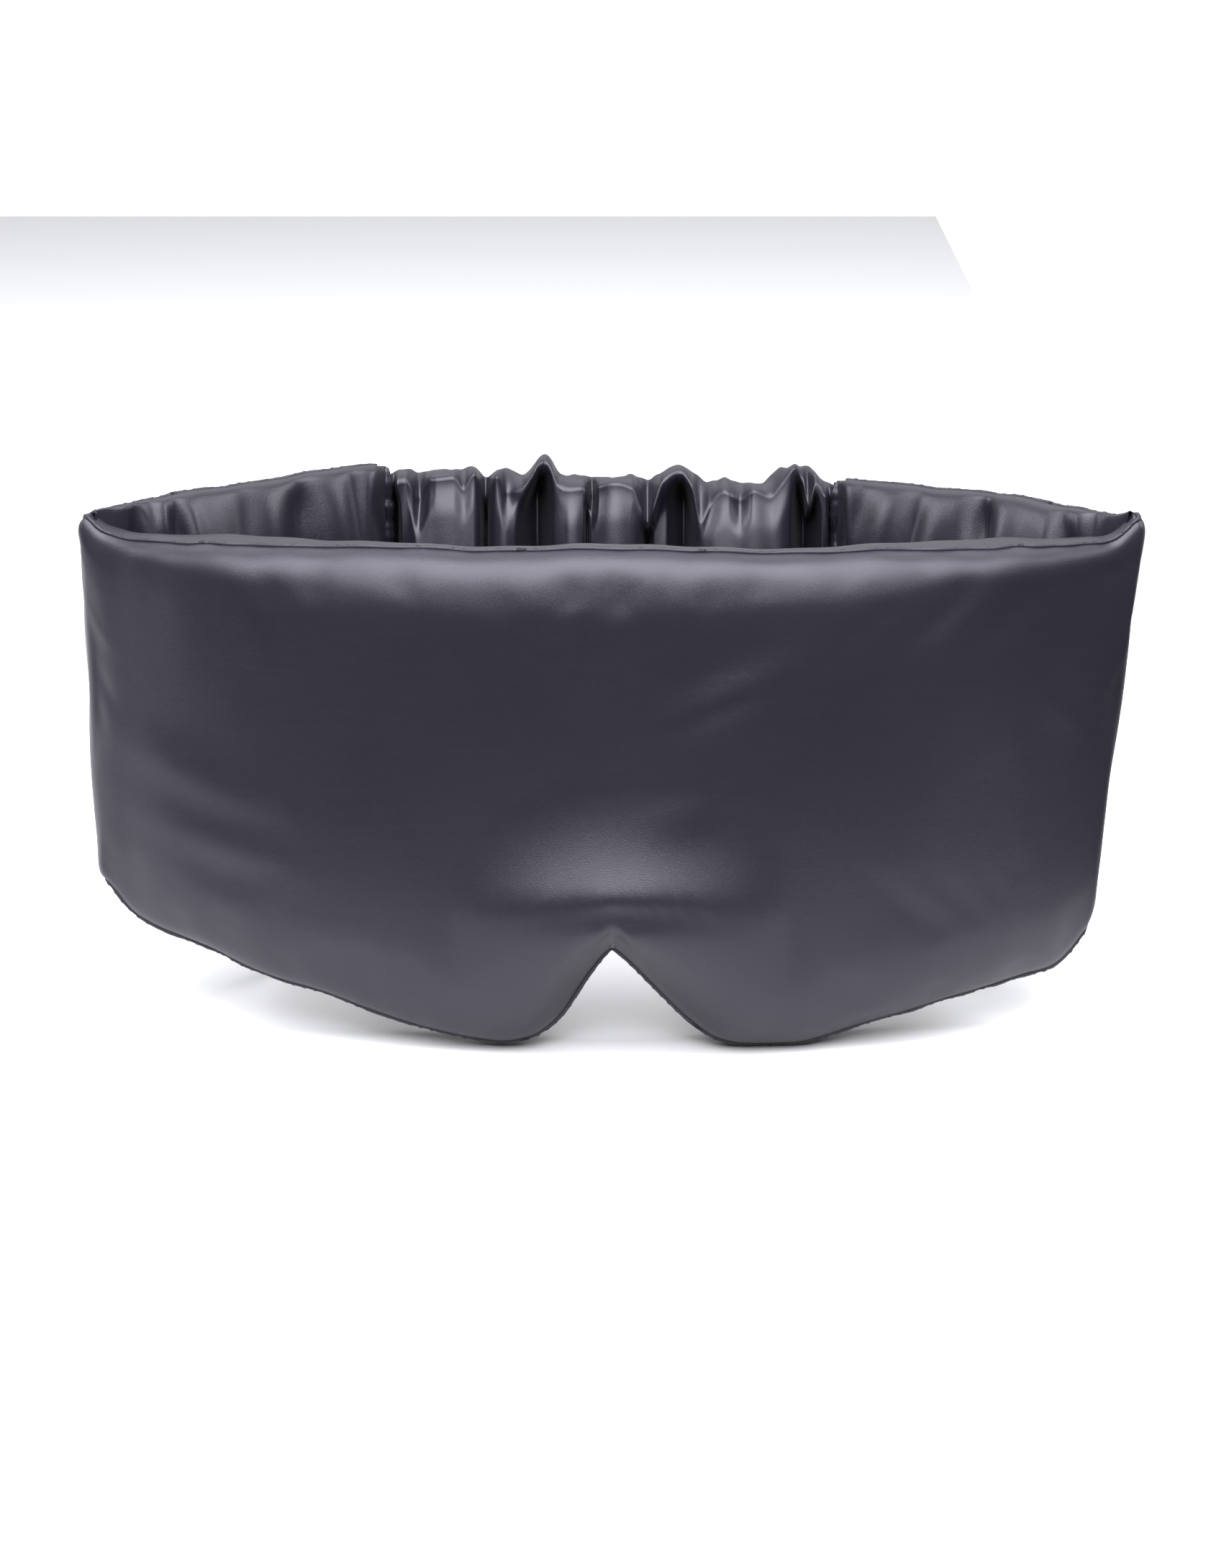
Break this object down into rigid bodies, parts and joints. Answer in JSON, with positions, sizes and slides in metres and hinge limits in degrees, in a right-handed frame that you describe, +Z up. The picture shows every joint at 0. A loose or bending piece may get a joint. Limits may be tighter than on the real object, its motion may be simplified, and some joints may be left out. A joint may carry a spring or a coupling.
{
  "type": "sleep eye mask",
  "caption": "Padded satin sleep mask: wide front with a nose notch, padded side wings and a ruched elastic band closing the loop behind the head.",
  "frame": {"origin": "centre of the loop in plan, on the surface that the mask stands on", "axes": "+X towards the right as seen from the front, -Y out of the front face, +Z up"},
  "size_m": [0.2398, 0.085, 0.1226],
  "materials": {
    "satin": "satin weave, soft sheen",
    "lining": "satin weave, soft sheen",
    "blackout": "matte, closely woven",
    "wadding": "matte fibre",
    "thread": "sewing thread",
    "elastic": "knitted, matte"
  },
  "bodies": {
    "front": {"outer_satin_centre": "satin", "blackout_layer_centre": "blackout", "wadding_centre": "wadding", "lining_centre": "lining", "edge_thread_top_centre": "thread", "edge_thread_bottom_centre": "thread", "notch_tack": "thread"},
    "cheek_left": {"outer_satin_left": "satin", "blackout_layer_left": "blackout", "wadding_left": "wadding", "lining_left": "lining", "edge_thread_top_left": "thread", "edge_thread_bottom_left": "thread", "corner_seam_left": "thread"},
    "wing_left": {"wing_outer_left": "satin", "wing_wadding_left": "wadding", "wing_lining_left": "lining", "wing_thread_top_left": "thread", "wing_thread_bottom_left": "thread", "band_seam_left": "thread"},
    "band_left": {"band_casing_left": "satin", "band_elastic_left": "elastic"},
    "band_mid_left": {"band_casing_mid_left": "satin", "band_elastic_mid_left": "elastic"},
    "cheek_right": {"outer_satin_right": "satin", "blackout_layer_right": "blackout", "wadding_right": "wadding", "lining_right": "lining", "edge_thread_top_right": "thread", "edge_thread_bottom_right": "thread", "corner_seam_right": "thread"},
    "wing_right": {"wing_outer_right": "satin", "wing_wadding_right": "wadding", "wing_lining_right": "lining", "wing_thread_top_right": "thread", "wing_thread_bottom_right": "thread", "band_seam_right": "thread"},
    "band_right": {"band_casing_right": "satin", "band_elastic_right": "elastic"},
    "band_mid_right": {"band_casing_mid_right": "satin", "band_elastic_mid_right": "elastic"}
  },
  "joints": [
    {"name": "front_wrap", "type": "hinge", "parent": "front", "child": "cheek_left", "pos_m": [-0.046, -0.03033, 0.06], "axis": [0, 0, -1], "range_deg": [-6, 42], "deforming": ["outer_satin_left", "blackout_layer_left", "wadding_left", "lining_left", "edge_thread_top_left", "edge_thread_bottom_left"]},
    {"name": "cheek_right_wrap", "type": "hinge", "parent": "front", "child": "cheek_right", "pos_m": [0.046, -0.03033, 0.06], "axis": [0, 0, 1], "range_deg": [-6.01, 42.01], "deforming": ["outer_satin_right", "blackout_layer_right", "wadding_right", "lining_right", "edge_thread_top_right", "edge_thread_bottom_right"]},
    {"name": "wing_left_fold", "type": "hinge", "parent": "cheek_left", "child": "wing_left", "pos_m": [-0.118, -0.0146, 0.06], "axis": [0, 0, 1], "range_deg": [-13.56, 94.89]},
    {"name": "band_left_turn", "type": "hinge", "parent": "wing_left", "child": "band_left", "pos_m": [-0.054, 0.0374, 0.06], "axis": [0, 0, -1], "range_deg": [-7.57, 52.89]},
    {"name": "elastic_left_stretch", "type": "slide", "parent": "band_left", "child": "band_mid_left", "axis": [1, 0, 0], "range_m": [-0.00552, 0.03807], "stiffness_N_per_m": 40, "deforming": ["band_casing_left", "band_elastic_left"]},
    {"name": "wing_right_fold", "type": "hinge", "parent": "cheek_right", "child": "wing_right", "pos_m": [0.118, -0.0146, 0.06], "axis": [0, 0, -1], "range_deg": [-13.56, 94.89]},
    {"name": "band_right_turn", "type": "hinge", "parent": "wing_right", "child": "band_right", "pos_m": [0.054, 0.0374, 0.06], "axis": [0, 0, 1], "range_deg": [-7.57, 52.89]},
    {"name": "elastic_right_stretch", "type": "slide", "parent": "band_right", "child": "band_mid_right", "axis": [-1, 0, 0], "range_m": [-0.00552, 0.03807], "stiffness_N_per_m": 40, "deforming": ["band_casing_right", "band_elastic_right"]}
  ],
  "couplings": [
    {"joint": "cheek_right_wrap", "follows": "front_wrap", "ratio": 1},
    {"joint": "wing_left_fold", "follows": "front_wrap", "ratio": 2.2591},
    {"joint": "band_left_turn", "follows": "front_wrap", "ratio": 1.2591},
    {"joint": "elastic_left_stretch", "follows": "front_wrap", "m_per_rad": 0.0518},
    {"joint": "wing_right_fold", "follows": "front_wrap", "ratio": 2.2591},
    {"joint": "band_right_turn", "follows": "front_wrap", "ratio": 1.2591},
    {"joint": "elastic_right_stretch", "follows": "front_wrap", "m_per_rad": 0.0518}
  ]
}
